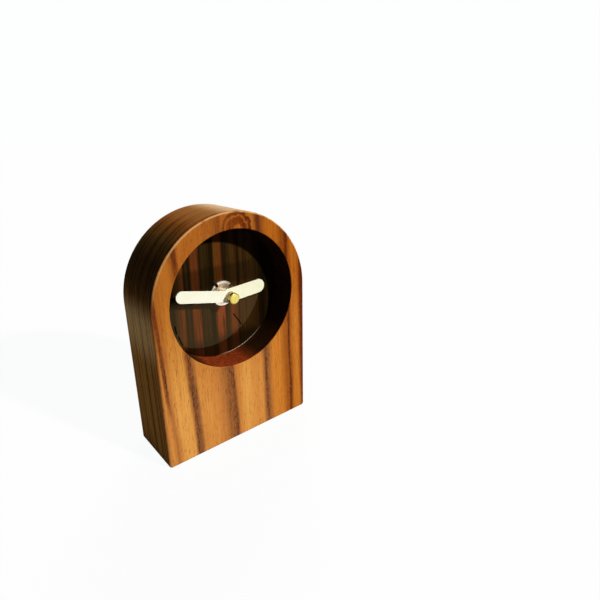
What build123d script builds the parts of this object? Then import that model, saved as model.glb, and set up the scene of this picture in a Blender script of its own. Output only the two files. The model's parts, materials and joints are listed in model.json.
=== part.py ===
# Wooden desk clock: an arched block of solid wood with a deep round recess in its front,
# a dial at the recess floor, two flat hands, and a battery quartz movement in a pocket behind.
# Millimetres. +Z is up, the dial faces -Y, and the origin lies under the middle of the block.
# Depths are Y values: they grow from the front face towards the back.

import os
from math import acos, cos, pi, radians, sin, tan

from build123d import *

os.makedirs("parts", exist_ok=True)

# Wooden block
case_width = 80.0
case_height = 112.0
case_edge_round = 1.0
foot_corner_round = 1.5
recess_rim_width = 7.7
recess_depth = 14.1
recess_lip_round = 0.4
floor_thickness = 1.6

# Dial and what holds the movement to the block
dial_thickness = 0.8
dial_edge_gap = 0.3
dial_edge_chamfer = 0.2
bush_radius = 4.0
bush_flange_radius = 5.5
bush_flange_thickness = 0.5
bush_hole_gap = 0.15
bush_end_chamfer = 0.3
thread_gap = 0.02
nut_radius = 6.2
nut_thickness = 1.5
nut_edge_chamfer = 0.3
nut_slot_width = 1.5
nut_slot_depth = 1.1
nut_slot_count = 4
nut_slot_angle = 35.0
bush_past_nut = 0.3
rubber_thickness = 0.4
rubber_width = 4.0

# Hands, seen from the front, angles clockwise from twelve
hand_thickness = 0.4
hand_edge_round = 0.1
hour_hand_shortfall = 6.5
hour_hand_width = 6.8
hour_hand_angle = 85.9
hour_hand_height = 6.2
minute_hand_end_gap = 5.2
minute_hand_width = 5.5
minute_hand_angle = 282.1
minute_hand_height = 7.7
hub_radius = 2.6
hub_length = 1.9
hub_edge_chamfer = 0.15
cap_radius = 2.65
cap_length = 2.4
cap_dome_rise = 0.5
cap_edge_round = 0.3
cap_neck_radius = 2.1
cap_neck_length = 0.35
cap_bore_depth = 1.7
minute_tip_radius = 1.25
minute_tip_flat_width = 2.1
minute_tip_length = 3.8

# Movement housing
movement_setback = 0.3
movement_top_corner = 8.0
movement_foot_corner = 2.0
pocket_clearance = 0.4
shell_wall = 1.0
shell_floor = 1.0
bay_floor = 0.6
cover_thickness = 1.0
plate_thickness = 0.9
plate_gap = 0.15
boss_radius = 2.0
boss_gap = 0.1
boss_foot_width = 0.9
top_boss_inset = 6.0
low_boss_inset = 4.7
low_boss_rise = 3.1
screw_radius = 0.9
screw_length = 6.0
screw_head_radius = 1.8
screw_head_thickness = 0.6
screw_slot_width = 0.4
screw_slot_depth = 0.25

# Battery and its contacts
cell_radius = 7.0
cell_length = 50.5
cell_edge_round = 0.6
cell_nub_radius = 2.75
cell_nub_length = 1.2
cell_gap = 0.3
contact_thickness = 0.3
contact_width = 9.0
contact_height = 10.0
contact_bow_rise = 1.9
contact_bow_height = 10.0
contact_bow_width = 6.0
riser_width = 1.2
tab_length = 2.8
tab_height = 4.0
riser_slot_gap = 0.1

# Wheels: tooth counts, distances between axes, and where each axis lies
rotor_teeth = 8
intermediate_teeth = 48
intermediate_pinion_teeth = 8
seconds_teeth = 40
seconds_pinion_teeth = 8
third_teeth = 60
third_pinion_teeth = 8
centre_teeth = 64
cannon_teeth = 12
motion_teeth = 36
motion_pinion_teeth = 12
hour_teeth = 48
setting_teeth = 12
third_distance = 10.9
third_angle = 35.0
intermediate_distance = 11.0
intermediate_angle = 118.0
rotor_distance = 8.4
rotor_angle = 55.0
motion_distance = 8.4
motion_angle = 180.0
setting_angle = 185.0
wheel_thickness = 0.7
level_gap = 0.4
pinion_overlap = 0.15
end_shake = 0.15
tooth_play = 0.03
pressure_angle = radians(20.0)
undercut_limit = 17.1
pinion_tip_share = 0.75
wheel_tip_share = 1.0
root_share = 1.2
flank_points = 4
half_turn = 180.0

# Arbors and pivots
running_clearance = 0.05
arbor_radius = 0.8
pivot_radius = 0.4
pivot_length = 0.7
seconds_pin_radius = 0.5
seconds_pin_length = 9.0
seconds_pin_end_gap = 0.5
minute_arbor_radius = 1.6
centre_journal_radius = 1.3
hour_tube_wall = 0.85
hour_tube_past_hand = 0.2
setting_arbor_radius = 1.2
knob_radius = 4.9
knob_thickness = 2.4
knob_edge_chamfer = 0.3
knob_setback = 0.1
knob_flute_radius = 0.45
knob_flute_count = 24
knob_floor_gap = 0.3
well_gap = 1.1
well_wall = 0.8
well_floor = 0.8

# Motor and circuit
rotor_arbor_radius = 0.5
magnet_radius = 2.5
magnet_thickness = 1.5
rotor_hole_radius = 2.0
rotor_boss_radius = 1.2
rotor_pivot_length = 1.0
rotor_pivot_room = 0.3
stator_gap = 0.4
stator_thickness = 0.7
stator_bar_width = 4.4
stator_ring_width = 1.4
stator_slit_width = 0.3
stator_neck = 0.5
core_rise = 0.5
core_thickness = 0.7
core_width = 2.2
core_end_radius = 2.0
coil_span = 13.0
coil_lift = 7.0
coil_end_gap = 0.4
coil_flange_radius = 2.5
coil_flange_thickness = 0.6
coil_tube_radius = 1.6
coil_wire_depth = 0.7
coil_window_gap = 0.4
stake_radius = 0.6
board_thickness = 0.8
board_height = 6.0
board_rise = 6.5
board_gap = 0.6
chip_radius = 2.0
chip_height = 0.8
crystal_radius = 1.0
crystal_length = 6.0
crystal_leg_radius = 0.2
crystal_leg_length = 1.6
crystal_leg_spread = 0.5

# The movement is as wide as its cell needs, and as deep as its stack of levels
movement_width = cell_length + contact_bow_rise + 2 * contact_thickness + 2 * shell_wall
level_step = wheel_thickness + level_gap
train_depth = 2 * (plate_thickness + level_gap) + 6 * level_step - level_gap / 2
motor_depth = core_rise + core_thickness + (stator_thickness + magnet_thickness) / 2
motor_depth += rotor_pivot_length + rotor_pivot_room
movement_depth = shell_floor + train_depth + motor_depth + cover_thickness

# Outline and depths of the block, which holds the movement behind the recess
case_depth = recess_depth + floor_thickness + rubber_thickness + movement_depth + movement_setback
arch_radius = case_width / 2
shaft_height = case_height - arch_radius
recess_radius = arch_radius - recess_rim_width
minute_hand_length = recess_radius - minute_hand_end_gap
hour_hand_length = minute_hand_length - hour_hand_shortfall
front_face = -case_depth / 2
back_face = case_depth / 2
recess_floor = front_face + recess_depth
floor_back = recess_floor + floor_thickness
dial_face = recess_floor - dial_thickness
nut_face = dial_face - nut_thickness

# Depths of the movement, from its front to its cover
movement_front = floor_back + rubber_thickness
movement_back = movement_front + movement_depth
shell_inside = movement_front + shell_floor
cover_inside = movement_back - cover_thickness
hour_level = shell_inside + level_gap / 2
motion_level = hour_level + level_step
middle_front = motion_level + level_step
middle_back = middle_front + plate_thickness
centre_level = middle_back + level_gap
third_level = centre_level + level_step
seconds_level = third_level + level_step
intermediate_level = seconds_level + level_step
bridge_front = intermediate_level + level_step
bridge_back = bridge_front + plate_thickness
core_front = bridge_back + core_rise
core_back = core_front + core_thickness
stator_back = core_back + stator_thickness
magnet_front = (core_back + stator_back - magnet_thickness) / 2
magnet_back = magnet_front + magnet_thickness
board_back = bridge_back + board_thickness

# Depths of the hands, and the tube that carries the hour hand
hour_tube_radius = minute_arbor_radius + running_clearance + hour_tube_wall
hour_hand_front = dial_face - hour_hand_height
hour_hand_back = hour_hand_front + hand_thickness
minute_hand_front = dial_face - minute_hand_height
minute_hand_back = minute_hand_front + hand_thickness
hub_front = minute_hand_front - hub_length

# Depths of the setting knob, which stays just inside the cover's back
knob_back = movement_back - knob_setback
knob_front = knob_back - knob_thickness
well_bottom = knob_front - knob_floor_gap
well_radius = knob_radius + well_gap


def polar(start, distance, direction):
    """Point at a distance from start, the direction in degrees from +X towards +Z."""
    x = start[0] + distance * cos(radians(direction))
    z = start[1] + distance * sin(radians(direction))
    return (x, z)


# Places seen from the front, as (X, Z)
shaft = (0, shaft_height)
third_axis = polar(shaft, third_distance, third_angle)
intermediate_axis = polar(shaft, intermediate_distance, intermediate_angle)
rotor_axis = polar(intermediate_axis, rotor_distance, rotor_angle)
motion_axis = polar(shaft, motion_distance, motion_angle)
setting_axis = polar(motion_axis, motion_distance, setting_angle)
inner_half = movement_width / 2 - shell_wall
cell_axis = (0, shaft_height - inner_half + cell_gap + cell_radius)
bay_top = cell_axis[1] + cell_radius + cell_gap
gears_foot = bay_top + shell_wall
cell_depth = movement_front + bay_floor + cell_radius
core_axis = (rotor_axis[0], rotor_axis[1] + coil_lift)
coil_depth = core_front + core_thickness / 2
top_boss_x = movement_width / 2 - top_boss_inset
low_boss_x = movement_width / 2 - low_boss_inset
boss_places = [
    (-top_boss_x, shaft_height + top_boss_x),
    (top_boss_x, shaft_height + top_boss_x),
    (-low_boss_x, gears_foot + low_boss_rise),
    (low_boss_x, gears_foot + low_boss_rise),
]
stake_places = [(core_axis[0] - coil_span, core_axis[1]), (core_axis[0] + coil_span, core_axis[1])]


def slab(sketch, front, back):
    """Solid of a front-view sketch between two depths."""
    return extrude(Plane.XZ.offset(-front) * sketch, amount=front - back)


def disc(place, radius):
    """Circle in the front view."""
    return Pos(*place) * Circle(radius)


def rod(place, radius, front, back):
    """Round bar along the depth."""
    return slab(disc(place, radius), front, back)


def block(low, high):
    """Box between two corners, each (X, Y, Z)."""
    size = [high[i] - low[i] for i in range(3)]
    middle = [(high[i] + low[i]) / 2 for i in range(3)]
    return Pos(*middle) * Box(*size)


def rect(left, right, low, high):
    """Rectangle in the front view."""
    return Pos((left + right) / 2, (low + high) / 2) * Rectangle(right - left, high - low)


def involute(angle):
    return tan(angle) - angle


def gear(teeth, mate_teeth, distance, phase, place):
    """Outline of an involute gear. Phase is the direction in degrees of one tooth's middle.

    The smaller gear of a pair is shifted outwards and the larger inwards by the same share of
    the module, so that few teeth are not undercut and the distance stays the standard one.
    """
    module = 2 * distance / (teeth + mate_teeth)
    shift_share = 1 - min(teeth, mate_teeth) / undercut_limit
    tip_share = pinion_tip_share
    if teeth > mate_teeth:
        shift_share = -shift_share
        tip_share = wheel_tip_share
    pitch_radius = module * teeth / 2
    base_radius = pitch_radius * cos(pressure_angle)
    tip_radius = pitch_radius + module * (shift_share + tip_share)
    root_radius = pitch_radius + module * (shift_share - root_share)
    thickness = module * (pi / 2 + 2 * shift_share * tan(pressure_angle)) - tooth_play
    flank_start = max(base_radius, root_radius)

    def half_angle(radius):
        roll = acos(min(base_radius / radius, 1))
        return thickness / (2 * pitch_radius) + involute(pressure_angle) - involute(roll)

    def point(radius, angle):
        return (radius * cos(angle), radius * sin(angle))

    radii = [
        flank_start + (tip_radius - flank_start) * (i / (flank_points - 1)) ** 2
        for i in range(flank_points)
    ]
    foot_angle = half_angle(flank_start)
    edges = []
    for tooth in range(teeth):
        middle = radians(phase) + 2 * pi * tooth / teeth
        following = middle + 2 * pi / teeth
        rising = [point(radius, middle - half_angle(radius)) for radius in radii]
        falling = [point(radius, middle + half_angle(radius)) for radius in reversed(radii)]
        root_start = point(root_radius, middle + foot_angle)
        root_middle = point(root_radius, (middle + following) / 2)
        root_end = point(root_radius, following - foot_angle)
        edges.append(Spline(*rising))
        edges.append(ThreePointArc(rising[-1], point(tip_radius, middle), falling[0]))
        edges.append(Spline(*falling))
        if root_radius < base_radius:
            edges.append(Line(falling[-1], root_start))
        edges.append(ThreePointArc(root_start, root_middle, root_end))
        if root_radius < base_radius:
            edges.append(Line(root_end, point(flank_start, following - foot_angle)))
    return Pos(*place) * make_face(edges)


def meshed(teeth, phase, mate_teeth, direction):
    """Phase that puts the mate's gap on this gear's tooth, the mate lying in that direction."""
    share = (direction - phase) * teeth / 360
    return direction + half_turn - (0.5 - share) * 360 / mate_teeth


def arch_outline():
    """Front view of the block: a flat foot, straight sides and a half-round top."""
    foot = rect(-arch_radius, arch_radius, 0, shaft_height)
    foot = fillet(foot.vertices().group_by(Axis.Y)[0], foot_corner_round)
    return foot + disc(shaft, arch_radius)


def movement_outline(inset):
    """Front view of the housing, drawn in by inset, or out where inset is negative."""
    half = movement_width / 2 - inset
    outline = rect(-half, half, shaft_height - half, shaft_height + half)
    outline = fillet(outline.vertices().group_by(Axis.Y)[-1], movement_top_corner - inset)
    return fillet(outline.vertices().group_by(Axis.Y)[0], movement_foot_corner - inset)


def above(level):
    """Everything in the front view above a height, wide enough for the housing."""
    return rect(-movement_width, movement_width, level, level + 2 * movement_width)


def below(level):
    """Everything in the front view below a height, wide enough for the housing."""
    return rect(-movement_width, movement_width, level - 2 * movement_width, level)


def make_case_block():
    wood = slab(arch_outline(), front_face, back_face)
    rims = wood.faces().sort_by(Axis.Y)
    wood = fillet(rims[0].edges() + rims[-1].edges(), case_edge_round)
    wood -= rod(shaft, recess_radius, front_face, recess_floor)
    wood = fillet(wood.faces().sort_by(Axis.Y)[0].inner_wires()[0].edges(), recess_lip_round)
    wood -= slab(movement_outline(-pocket_clearance), floor_back, back_face)
    return wood - rod(shaft, bush_radius + bush_hole_gap, recess_floor, floor_back)


def make_dial():
    dial = rod(shaft, recess_radius - dial_edge_gap, dial_face, recess_floor)
    dial = chamfer(dial.faces().sort_by(Axis.Y)[0].edges(), dial_edge_chamfer)
    return dial - rod(shaft, bush_radius + bush_hole_gap, dial_face, recess_floor)


def make_round_nut():
    nut = rod(shaft, nut_radius, nut_face, dial_face)
    nut = chamfer(nut.faces().sort_by(Axis.Y)[0].edges(), nut_edge_chamfer)
    slot_middle = nut_radius - nut_slot_depth / 2
    for i in range(nut_slot_count):
        direction = nut_slot_angle + 360 * i / nut_slot_count
        place = polar(shaft, slot_middle, direction)
        slot = Pos(*place) * Rot(0, 0, direction) * Rectangle(2 * nut_slot_depth, nut_slot_width)
        nut -= slab(slot, nut_face, dial_face)
    return nut - rod(shaft, bush_radius + thread_gap, nut_face, dial_face)


def make_rubber_washer():
    inner = bush_radius + bush_hole_gap
    ring = Circle(inner + rubber_width) - Circle(inner)
    return slab(Pos(*shaft) * ring, floor_back, movement_front)


def make_threaded_bush():
    bush = rod(shaft, bush_radius, nut_face - bush_past_nut, shell_inside)
    bush = chamfer(bush.faces().sort_by(Axis.Y)[0].edges(), bush_end_chamfer)
    bush += rod(shaft, bush_flange_radius, shell_inside - bush_flange_thickness, shell_inside)
    bore = hour_tube_radius + running_clearance
    return bush - rod(shaft, bore, nut_face - bush_past_nut, shell_inside)


def make_hand(length, width, angle, front, back, hole):
    """Flat hand with two round ends, one of them about the shaft."""
    reach = length - width / 2
    outline = Pos(0, reach / 2) * Rot(0, 0, 90) * SlotCenterToCenter(reach, width)
    hand = slab(Pos(*shaft) * Rot(0, 0, -angle) * outline, front, back)
    hand = fillet(hand.faces().sort_by(Axis.Y)[0].edges(), hand_edge_round)
    return hand - slab(Pos(*shaft) * Rot(0, 0, -angle) * hole, front, back)


def minute_tip(gap):
    """Section of the minute arbor's tip: round with two flats, grown by a gap."""
    flats = Rectangle(minute_tip_flat_width + 2 * gap, 2 * minute_tip_radius + 2 * gap)
    return Circle(minute_tip_radius + gap) & flats


def make_minute_hand():
    """The hand carries a raised hub, which the cap nut presses on."""
    hole = minute_tip(thread_gap)
    hand = make_hand(
        minute_hand_length, minute_hand_width, minute_hand_angle, minute_hand_front, minute_hand_back, hole
    )
    hub = rod(shaft, hub_radius, hub_front, minute_hand_front)
    hub = chamfer(hub.faces().sort_by(Axis.Y)[0].edges(), hub_edge_chamfer)
    hub -= slab(Pos(*shaft) * Rot(0, 0, -minute_hand_angle) * hole, hub_front, minute_hand_front)
    return hand + hub


def make_cap_nut():
    """Short nut with a domed end, and a narrow neck against the minute hand's hub."""
    cap_front = hub_front - cap_length
    dome_radius = (cap_radius ** 2 + cap_dome_rise ** 2) / (2 * cap_dome_rise)
    ball = Pos(shaft[0], cap_front + dome_radius, shaft[1]) * Sphere(dome_radius)
    cap = rod(shaft, cap_radius, cap_front, hub_front - cap_neck_length) & ball
    rim = cap.edges().filter_by(GeomType.CIRCLE).sort_by(Axis.Y)[0]
    cap = fillet(rim, cap_edge_round)
    cap += rod(shaft, cap_neck_radius, hub_front - cap_neck_length, hub_front)
    bore_radius = minute_tip_radius + thread_gap
    return cap - rod(shaft, bore_radius, hub_front - cap_bore_depth, hub_front)


def make_minute_arbor():
    bore_radius = seconds_pin_radius + running_clearance
    bore_front = centre_level + wheel_thickness - seconds_pin_length - seconds_pin_end_gap
    arbor_back = centre_level + wheel_thickness
    tip = Pos(*shaft) * Rot(0, 0, -minute_hand_angle) * minute_tip(0)
    teeth = gear(cannon_teeth, motion_teeth, motion_distance, cannon_phase, shaft)
    arbor = rod(shaft, minute_arbor_radius, minute_hand_back, motion_level - pinion_overlap)
    arbor += slab(tip, minute_hand_front - minute_tip_length + hand_thickness, minute_hand_back)
    arbor += slab(teeth, motion_level - pinion_overlap, motion_level + wheel_thickness + pinion_overlap)
    arbor += rod(
        shaft, minute_arbor_radius, motion_level + wheel_thickness + pinion_overlap, middle_back + end_shake
    )
    arbor += rod(shaft, centre_journal_radius, middle_back + end_shake, arbor_back)
    return arbor - rod(shaft, bore_radius, bore_front, arbor_back)


def make_hour_wheel():
    teeth = gear(hour_teeth, motion_pinion_teeth, motion_distance, hour_phase, shaft)
    wheel = slab(teeth, hour_level, hour_level + wheel_thickness)
    tube_front = hour_hand_front - hour_tube_past_hand
    wheel += rod(shaft, hour_tube_radius, tube_front, hour_level)
    bore = minute_arbor_radius + running_clearance
    return wheel - rod(shaft, bore, tube_front, hour_level + wheel_thickness)


def make_motion_wheel():
    teeth = gear(motion_teeth, cannon_teeth, motion_distance, motion_phase, motion_axis)
    pinion = gear(motion_pinion_teeth, hour_teeth, motion_distance, motion_pinion_phase, motion_axis)
    wheel = slab(teeth, motion_level, motion_level + wheel_thickness)
    wheel += slab(pinion, hour_level, motion_level)
    wheel += rod(motion_axis, pivot_radius, shell_inside - pivot_length, hour_level)
    shoulder = middle_front - end_shake
    wheel += rod(motion_axis, arbor_radius, motion_level + wheel_thickness, shoulder)
    return wheel + rod(motion_axis, pivot_radius, shoulder, middle_front + pivot_length)


def make_setting_arbor():
    pinion = gear(setting_teeth, motion_teeth, motion_distance, setting_phase, setting_axis)
    pinion_front = motion_level - pinion_overlap
    pinion_back = motion_level + wheel_thickness + pinion_overlap
    arbor = slab(pinion, pinion_front, pinion_back)
    arbor += rod(setting_axis, arbor_radius, shell_inside + end_shake, pinion_front)
    arbor += rod(setting_axis, pivot_radius, shell_inside - pivot_length, shell_inside + end_shake)
    return arbor + rod(setting_axis, setting_arbor_radius, pinion_back, knob_back - knob_edge_chamfer)


def make_setting_knob():
    knob = rod(setting_axis, knob_radius, knob_front, knob_back)
    knob = chamfer(knob.faces().sort_by(Axis.Y)[-1].edges(), knob_edge_chamfer)
    for i in range(knob_flute_count):
        place = polar(setting_axis, knob_radius, 360 * i / knob_flute_count)
        knob -= rod(place, knob_flute_radius, knob_front, knob_back)
    return knob - rod(setting_axis, setting_arbor_radius, knob_front, knob_back)


def make_centre_wheel():
    teeth = gear(centre_teeth, third_pinion_teeth, third_distance, centre_phase, shaft)
    hub_front = middle_back + end_shake
    wheel = slab(teeth, centre_level, centre_level + wheel_thickness)
    wheel += rod(shaft, minute_arbor_radius + arbor_radius, hub_front, centre_level)
    bore = centre_journal_radius + running_clearance
    return wheel - rod(shaft, bore, hub_front, centre_level + wheel_thickness)


def make_train_wheel(axis, teeth, level, pinion, pinion_level):
    """Wheel and pinion on one arbor that turns between the middle plate and the bridge."""
    front_shoulder = middle_back + end_shake
    back_shoulder = bridge_front - end_shake
    pinion_front = pinion_level - pinion_overlap
    wheel = slab(teeth, level, level + wheel_thickness)
    wheel += slab(pinion, pinion_front, level)
    wheel += rod(axis, arbor_radius, front_shoulder, pinion_front)
    wheel += rod(axis, arbor_radius, level + wheel_thickness, back_shoulder)
    wheel += rod(axis, pivot_radius, middle_back - pivot_length, front_shoulder)
    return wheel + rod(axis, pivot_radius, back_shoulder, bridge_front + pivot_length)


def make_third_wheel():
    teeth = gear(third_teeth, seconds_pinion_teeth, third_distance, third_phase, third_axis)
    pinion = gear(third_pinion_teeth, centre_teeth, third_distance, third_pinion_phase, third_axis)
    return make_train_wheel(third_axis, teeth, third_level, pinion, centre_level)


def make_intermediate_wheel():
    axis = intermediate_axis
    teeth = gear(intermediate_teeth, rotor_teeth, rotor_distance, intermediate_phase, axis)
    pinion = gear(
        intermediate_pinion_teeth, seconds_teeth, intermediate_distance, intermediate_pinion_phase, axis
    )
    return make_train_wheel(axis, teeth, intermediate_level, pinion, seconds_level)


def make_seconds_wheel():
    teeth = gear(seconds_teeth, intermediate_pinion_teeth, intermediate_distance, seconds_phase, shaft)
    pinion = gear(seconds_pinion_teeth, third_teeth, third_distance, seconds_pinion_phase, shaft)
    pinion_front = third_level - pinion_overlap
    pin_front = centre_level + wheel_thickness - seconds_pin_length
    back_shoulder = bridge_front - end_shake
    wheel = slab(teeth, seconds_level, seconds_level + wheel_thickness)
    wheel += slab(pinion, pinion_front, seconds_level)
    wheel += rod(shaft, seconds_pin_radius, pin_front, pinion_front)
    wheel += rod(shaft, arbor_radius, seconds_level + wheel_thickness, back_shoulder)
    return wheel + rod(shaft, pivot_radius, back_shoulder, bridge_front + pivot_length)


def make_rotor_pinion():
    pinion = gear(rotor_teeth, intermediate_teeth, rotor_distance, rotor_phase, rotor_axis)
    pinion_front = intermediate_level - pinion_overlap
    pinion_back = intermediate_level + wheel_thickness + pinion_overlap
    front_shoulder = middle_back + end_shake
    rotor = slab(pinion, pinion_front, pinion_back)
    rotor += rod(rotor_axis, rotor_arbor_radius, front_shoulder, pinion_front)
    rotor += rod(rotor_axis, rotor_arbor_radius, pinion_back, magnet_back)
    rotor += rod(rotor_axis, pivot_radius, middle_back - pivot_length, front_shoulder)
    return rotor + rod(rotor_axis, pivot_radius, magnet_back, magnet_back + rotor_pivot_length)


def make_rotor_magnet():
    magnet = rod(rotor_axis, magnet_radius, magnet_front, magnet_back)
    return magnet - rod(rotor_axis, rotor_arbor_radius, magnet_front, magnet_back)


def make_movement_shell():
    outer = movement_outline(0)
    inner = movement_outline(shell_wall)
    shell = slab(outer, movement_front, movement_back)
    shell -= slab(inner & above(gears_foot), shell_inside, movement_back)
    shell -= slab(inner & below(bay_top), movement_front + bay_floor, movement_back)
    shell -= slab(outer & above(gears_foot), cover_inside, movement_back)
    for place in boss_places:
        shell += rod(place, boss_radius + boss_foot_width, shell_inside, middle_front)
        shell += rod(place, boss_radius, middle_front, cover_inside)
        shell -= rod(place, screw_radius, cover_inside - screw_length, cover_inside)
    for side in (-1, 1):
        slot_edges = sorted([side * inner_half, side * (inner_half - contact_thickness - riser_slot_gap)])
        slot_low = (slot_edges[0], board_back - riser_slot_gap, bay_top)
        slot_high = (slot_edges[1], board_back + riser_width + riser_slot_gap, gears_foot)
        shell -= block(slot_low, slot_high)
    for axis in (motion_axis, setting_axis):
        shell -= rod(axis, pivot_radius + running_clearance, movement_front + cell_gap, shell_inside)
    shell -= rod(shaft, bush_flange_radius, shell_inside - bush_flange_thickness, shell_inside)
    return shell - rod(shaft, bush_radius, movement_front, shell_inside)


def plate_outline():
    """Front view of the plates inside the housing."""
    inner = movement_outline(shell_wall + plate_gap)
    return inner & above(gears_foot + plate_gap)


def make_middle_plate():
    plate = slab(plate_outline(), middle_front, middle_back)
    for place in boss_places:
        plate -= rod(place, boss_radius + boss_gap, middle_front, middle_back)
    for axis in (motion_axis, third_axis, intermediate_axis, rotor_axis):
        plate -= rod(axis, pivot_radius + running_clearance, middle_front, middle_back)
    plate -= rod(setting_axis, setting_arbor_radius + running_clearance, middle_front, middle_back)
    return plate - rod(shaft, minute_arbor_radius + running_clearance, middle_front, middle_back)


def make_train_bridge():
    window_half = coil_span - core_end_radius - coil_window_gap / 2
    window_rise = coil_flange_radius + coil_window_gap
    window = rect(
        core_axis[0] - window_half,
        core_axis[0] + window_half,
        core_axis[1] - window_rise,
        core_axis[1] + window_rise,
    )
    bridge = slab(plate_outline(), bridge_front, bridge_back)
    bridge -= slab(window, bridge_front, bridge_back)
    for place in boss_places:
        bridge += rod(place, boss_radius + boss_foot_width, middle_back, bridge_front)
        bridge -= rod(place, boss_radius + boss_gap, middle_back, bridge_back)
    for axis in (shaft, third_axis, intermediate_axis):
        bridge -= rod(axis, pivot_radius + running_clearance, bridge_front, bridge_back)
    bridge -= rod(rotor_axis, rotor_hole_radius, bridge_front, bridge_back)
    bridge -= rod(setting_axis, setting_arbor_radius + running_clearance, bridge_front, bridge_back)
    for place in stake_places:
        bridge += rod(place, core_end_radius, bridge_back, core_front)
        bridge += rod(place, stake_radius, core_front, stator_back)
    return bridge


def make_gear_cover():
    outline = movement_outline(0) & above(gears_foot + plate_gap)
    cover = slab(outline, cover_inside, movement_back)
    cover += rod(setting_axis, well_radius + well_wall, well_bottom - well_floor, movement_back)
    cover -= rod(setting_axis, well_radius, well_bottom, movement_back)
    cover -= rod(
        setting_axis, setting_arbor_radius + running_clearance, well_bottom - well_floor, well_bottom
    )
    cover += rod(rotor_axis, rotor_boss_radius, magnet_back + end_shake, cover_inside)
    bearing_back = magnet_back + rotor_pivot_length + end_shake
    cover -= rod(rotor_axis, pivot_radius + running_clearance, magnet_back, bearing_back)
    for place in boss_places:
        cover -= rod(place, screw_radius + boss_gap, cover_inside, movement_back)
        head_hole = screw_head_radius + boss_gap
        cover -= rod(place, head_hole, movement_back - screw_head_thickness, movement_back)
    return cover


def make_cover_screws():
    head_front = movement_back - screw_head_thickness
    tip = cover_inside - screw_length + end_shake
    screws = []
    for place in boss_places:
        screw = rod(place, screw_radius, tip, head_front)
        screw += rod(place, screw_head_radius, head_front, movement_back)
        slot = Pos(*place) * Rectangle(2 * screw_head_radius, screw_slot_width)
        screws.append(screw - slab(slot, movement_back - screw_slot_depth, movement_back))
    return Compound(children=screws)


def make_battery_cell():
    right = inner_half - contact_thickness
    body_length = cell_length - cell_nub_length
    body = Pos(right - cell_nub_length - body_length / 2, 0, 0) * Rot(0, 90, 0)
    cell = body * Cylinder(cell_radius, body_length)
    cell = fillet(cell.edges(), cell_edge_round)
    cell += Pos(right - cell_nub_length / 2, 0, 0) * Rot(0, 90, 0) * Cylinder(cell_nub_radius, cell_nub_length)
    return Pos(0, cell_depth, cell_axis[1]) * cell


def make_contact(side):
    """Strip at one end of the battery bay, with a riser to the circuit board and a tab on it."""

    def between(inner, outer, front, back, low, high):
        left, right = sorted([side * inner, side * outer])
        return block((left, front, low), (right, back, high))

    face = inner_half - contact_thickness
    middle = cell_axis[1]
    board_top = shaft_height + board_rise + board_height
    tab_low = shaft_height + board_rise + (board_height - tab_height) / 2
    plate_front = cell_depth - contact_width / 2
    plate_back = board_back + riser_width
    strip = between(
        face, inner_half, plate_front, plate_back, middle - contact_height / 2, middle + contact_height / 2
    )
    strip += between(face, inner_half, board_back, plate_back, middle, board_top)
    strip += between(
        inner_half - tab_length, inner_half, board_back, board_back + contact_thickness, tab_low,
        tab_low + tab_height
    )
    return strip


def make_positive_contact():
    return make_contact(1)


def make_negative_contact():
    """The bow is a springy arc that presses on the flat end of the cell."""
    strip = make_contact(-1)
    plate_face = -(inner_half - contact_thickness)
    cell_end = inner_half - contact_thickness - cell_length
    bow_radius = (contact_bow_rise ** 2 + (contact_bow_height / 2) ** 2) / (2 * contact_bow_rise)
    ring = Circle(bow_radius) - Circle(bow_radius - contact_thickness)
    bow = Pos(cell_end - bow_radius, cell_axis[1]) * ring
    bow &= rect(plate_face, cell_end + bow_radius, cell_axis[1] - bow_radius, cell_axis[1] + bow_radius)
    bow_front = cell_depth - contact_bow_width / 2
    return strip + slab(bow, bow_front, bow_front + contact_bow_width)


def make_circuit_board():
    half = inner_half - board_gap
    low = shaft_height + board_rise
    return slab(rect(-half, half, low, low + board_height), bridge_back, board_back)


board_middle = shaft_height + board_rise + board_height / 2


def make_controller_chip():
    """Low dome of black resin over the bare chip."""
    dome_radius = (chip_radius ** 2 + chip_height ** 2) / (2 * chip_height)
    x = (movement_width / 2) / 4
    ball = Pos(x, board_back + chip_height - dome_radius, board_middle) * Sphere(dome_radius)
    room = block(
        (x - dome_radius, board_back, board_middle - dome_radius),
        (x + dome_radius, board_back + dome_radius, board_middle + dome_radius),
    )
    return ball & room


def make_quartz_crystal():
    """Small metal can that lies on the board, with two legs."""
    y = board_back + crystal_radius
    start = -(movement_width / 2) / 4
    can = Pos(start - crystal_length / 2, y, board_middle) * Rot(0, 90, 0) * Cylinder(crystal_radius, crystal_length)
    can = fillet(can.edges().sort_by(Axis.X)[0], crystal_radius / 2)
    for side in (-1, 1):
        place = Pos(start + crystal_leg_length / 2, y, board_middle + side * crystal_leg_spread)
        can += place * Rot(0, 90, 0) * Cylinder(crystal_leg_radius, crystal_leg_length)
    return can


def along_coil(radius, half_length):
    """Round bar along the coil's axis."""
    place = Pos(core_axis[0], coil_depth, core_axis[1]) * Rot(0, 90, 0)
    return place * Cylinder(radius, 2 * half_length)


def core_bar(gap):
    """The flat bar that the coil is wound about, grown by a gap."""
    half_width = core_width / 2 + gap
    low = (core_axis[0] - coil_span, core_front - gap, core_axis[1] - half_width)
    high = (core_axis[0] + coil_span, core_back + gap, core_axis[1] + half_width)
    return block(low, high)


coil_half = coil_span - core_end_radius - coil_end_gap


def make_coil_bobbin():
    bobbin = along_coil(coil_flange_radius, coil_half)
    groove = along_coil(coil_flange_radius + coil_end_gap, coil_half - coil_flange_thickness)
    bobbin -= groove - along_coil(coil_tube_radius, coil_half)
    return bobbin - core_bar(running_clearance)


def make_coil_winding():
    half = coil_half - coil_flange_thickness
    return along_coil(coil_tube_radius + coil_wire_depth, half) - along_coil(coil_tube_radius, half)


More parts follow.
